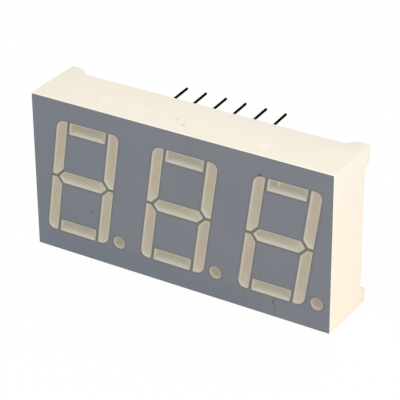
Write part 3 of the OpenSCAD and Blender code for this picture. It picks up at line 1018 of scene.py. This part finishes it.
def block(name, x, z, front, back):
    """A box that is centred across the face, with half sizes x and z in mm."""
    return prism(name, [(-x, front), (x, front), (x, back), (-x, back)], "z", z)


def foot_gap(half, first, last, run):
    """
    Profile of the gap between two feet, in mm: half the side's length, the flat ends of the first and
    the last foot, and the run of the slope beside them.
    """
    return [(first - half, PAST), (first - half, 0), (first + run - half, RIM_Y),
            (half - last - run, RIM_Y), (half - last, 0), (half - last, PAST)]


def cut(piece, *tools):
    """Cuts tools out of a piece, and throws the tools away."""
    for tool in tools:
        modifier = piece.modifiers.new("cut", "BOOLEAN")
        modifier.operation, modifier.solver, modifier.object = "DIFFERENCE", "EXACT", tool
    bake_modifiers(piece)
    for tool in tools:
        bpy.data.objects.remove(tool)


print("the rim lies", round(-RIM_Y, 2), "mm before the ends of the feet")

# %% Cut the housing
EDGE_ROUND = 0.11 * MM
EDGE_SEGMENTS = 4
FOOT_LONG, FOOT_LONG_SLOPE = 1.45, 1.1
FOOT_LOWER, FOOT_UPPER, FOOT_SHORT_SLOPE = 1.55, 1.8, 0.55

housing_low, housing_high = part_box("reflector_housing")
half_x, half_z = housing_high.x / MM, housing_high.z / MM
housing = block("moulded_housing", half_x, half_z, housing_low.y / MM, 0)
cut(
    housing,
    block("cavity", CAVITY_X / MM, CAVITY_Z / MM, PLATE_BACK / MM, PAST),
    prism("long_gap", foot_gap(half_x, FOOT_LONG, FOOT_LONG, FOOT_LONG_SLOPE), "z", half_z + PAST),
    prism("short_gap", foot_gap(half_z, FOOT_LOWER, FOOT_UPPER, FOOT_SHORT_SLOPE), "x", half_x + PAST),
)
rounding = housing.modifiers.new("edges", "BEVEL")
rounding.width, rounding.segments, rounding.limit_method = EDGE_ROUND, EDGE_SEGMENTS, "ANGLE"
bake_modifiers(housing)
print("housing before its wells:", len(housing.data.polygons), "faces")

# %% Cut the wells
TOOL_STEP = 0.6 * MM
WELL_EDGE_ANGLE = 50

well_tools = digit_of_plugs("well_tools", (FACE_Y - PAST) * MM, PLATE_BACK + PAST * MM, TOOL_STEP)
repeat(well_tools, plastic, DIGITS, DIGIT_PITCH)
cut(housing, well_tools)
housing.data.materials.clear()
housing.data.materials.append(plastic.material)
smooth(housing.data, WELL_EDGE_ANGLE)
fix_to_display(housing, "housing_plastic", "reflector_housing")

# %% [markdown]
# ## The floor and the light
#
# The photograph is a studio shot on pure white. The floor and the world are plain white to the camera,
# and to rays that come off gloss or through glass. To all other rays the world is a softer dome, so a
# colour comes out about as it is written. A small part of the floor still answers to the light, so it
# keeps a faint shadow.

# %% The world
DOME = 0.62
DOME_WHITE_SHARE = 1.0


def white_mix(tree, other, weight):
    """Mixes another shader with plain white light, for camera, glossy and transmission rays only."""
    rays = tree.nodes.new("ShaderNodeLightPath")
    factor = rays.outputs["Is Camera Ray"]
    for ray in ("Is Glossy Ray", "Is Transmission Ray"):
        larger = tree.nodes.new("ShaderNodeMath")
        larger.operation = "MAXIMUM"
        tree.links.new(factor, larger.inputs[0])
        tree.links.new(rays.outputs[ray], larger.inputs[1])
        factor = larger.outputs[0]
    share = tree.nodes.new("ShaderNodeMath")
    share.operation = "MULTIPLY"
    share.inputs[1].default_value = weight
    tree.links.new(factor, share.inputs[0])
    white = tree.nodes.new("ShaderNodeEmission")
    mix = tree.nodes.new("ShaderNodeMixShader")
    tree.links.new(share.outputs[0], mix.inputs[0])
    tree.links.new(other, mix.inputs[1])
    tree.links.new(white.outputs[0], mix.inputs[2])
    return mix.outputs[0]


world = bpy.data.worlds.new("studio")
world.use_nodes = True
scene.world = world
dome = world.node_tree.nodes["Background"]
dome.inputs["Color"].default_value = (1, 0.985, 0.955, 1)
dome.inputs["Strength"].default_value = DOME
world.node_tree.links.new(white_mix(world.node_tree, dome.outputs[0], DOME_WHITE_SHARE),
                          world.node_tree.nodes["World Output"].inputs["Surface"])
print("world:", len(world.node_tree.nodes), "nodes")

# %% The floor
FLOOR_WHITE_SHARE = 0.96
FLOOR_REACH = 2.0
FLOOR_PAINT = (0.98, 0.98, 0.98)

floor_mesh = bpy.data.meshes.new("floor")
floor_sides = ((-1, -1), (1, -1), (1, 1), (-1, 1))
corners = [(x * FLOOR_REACH, y * FLOOR_REACH, housing_low.z) for x, y in floor_sides]
floor_mesh.from_pydata(corners, [], [(0, 1, 2, 3)])
floor = add_object("floor", floor_mesh)
floor_finish = Finish("floor_white", FLOOR_PAINT, 0.9)
floor_tree = floor_finish.material.node_tree
floor_tree.links.new(white_mix(floor_tree, floor_finish.shader.outputs[0], FLOOR_WHITE_SHARE),
                     floor_tree.nodes["Material Output"].inputs["Surface"])
floor_mesh.materials.append(floor_finish.material)
print("floor at", round(housing_low.z / MM, 2), "mm")

# %% Lamps
def lamp(name, place, size, power, colour=(1, 1, 1)):
    """A soft square lamp that is aimed at the display, with its place and size in metres."""
    data = bpy.data.lights.new(name, "AREA")
    data.size, data.energy, data.color = size, power, colour
    light = bpy.data.objects.new(name, data)
    light.location = place
    light.rotation_euler = (-Vector(place)).to_track_quat("-Z", "Y").to_euler()
    scene.collection.objects.link(light)


lamp("key_from_the_right", (0.42, -0.25, 0.30), size=0.30, power=1.36, colour=(1, 0.955, 0.90))
lamp("fill_from_above", (-0.12, -0.22, 0.45), size=0.40, power=0.68)

# %% [markdown]
# ## Finish
#
